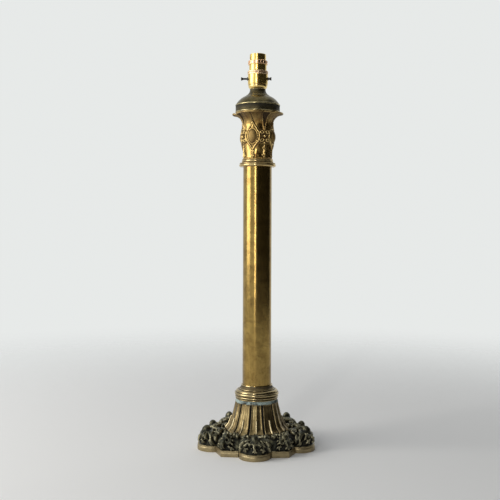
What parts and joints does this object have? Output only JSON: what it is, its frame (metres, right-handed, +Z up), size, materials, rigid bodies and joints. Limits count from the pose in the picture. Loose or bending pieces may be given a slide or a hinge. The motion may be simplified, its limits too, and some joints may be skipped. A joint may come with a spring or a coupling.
{
  "type": "column table lamp",
  "caption": "Tall brass column table lamp with a lobed, fluted cast foot, leaf capital, domed cap and bayonet lampholder with a push-bar switch.",
  "frame": {"origin": "on the column's axis, on the surface that the foot stands on", "axes": "+Z up along the column; -Y to the front, where one lobe of the foot points; +X to the right"},
  "size_m": [0.1814, 0.1806, 0.6135],
  "materials": {
    "foot_bronze": "aged cast brass, dark in the hollows and worn bright on the edges",
    "column_brass": "aged satin brass with spots and handling marks",
    "capital_brass": "warm cast brass, dark in the hollows",
    "cap_brass": "dark olive patina with worn ridges",
    "holder_brass": "polished brass",
    "rod_brass": "plain turned brass",
    "contact_brass": "bright brass",
    "zinc_steel": "dull plated steel",
    "spring_steel": "spring wire",
    "insulator": "moulded ivory insulator",
    "switch_plastic": "black moulded plastic",
    "bush_plastic": "dark brown moulded bush"
  },
  "bodies": {
    "lamp": {"base_casting": "foot_bronze", "cable_bush": "bush_plastic", "tie_rod": "rod_brass", "bottom_washer": "zinc_steel", "bottom_nut": "rod_brass", "base_collar": "column_brass", "column_tube": "column_brass", "tube_plug_lower": "rod_brass", "tube_plug_upper": "rod_brass", "column_top_ring": "column_brass", "capital": "capital_brass", "column_washer": "zinc_steel", "column_nut": "rod_brass", "dome_cap": "cap_brass", "neck_nut": "rod_brass", "holder_cap": "holder_brass", "holder_body": "holder_brass", "barrel_ring": "holder_brass", "holder_barrel": "holder_brass", "insulator_base": "insulator", "insulator_top": "insulator", "contact_spring_front": "spring_steel", "contact_spring_rear": "spring_steel", "terminal_posts": "contact_brass", "terminal_screws": "contact_brass", "bar_bushes": "switch_plastic"},
    "push_bar": {"push_bar": "switch_plastic", "switch_bridge": "contact_brass"},
    "shade_ring": {"shade_ring": "holder_brass"},
    "plunger_front": {"contact_plunger_front": "contact_brass"},
    "plunger_rear": {"contact_plunger_rear": "contact_brass"}
  },
  "joints": [
    {"name": "push_bar_slide", "type": "slide", "parent": "lamp", "child": "push_bar", "axis": [1, 0, 0], "range_m": [0, 0.005]},
    {"name": "shade_ring_turn", "type": "hinge", "parent": "lamp", "child": "shade_ring", "pos_m": [0, 0, 0.6], "axis": [0, 0, 1], "continuous": true},
    {"name": "plunger_front_press", "type": "slide", "parent": "lamp", "child": "plunger_front", "axis": [0, 0, -1], "range_m": [0, 0.003], "stiffness_N_per_m": 800, "springref_m": -0.002, "deforming": ["contact_spring_front"]},
    {"name": "plunger_rear_press", "type": "slide", "parent": "lamp", "child": "plunger_rear", "axis": [0, 0, -1], "range_m": [0, 0.003], "stiffness_N_per_m": 800, "springref_m": -0.002, "deforming": ["contact_spring_rear"]}
  ]
}
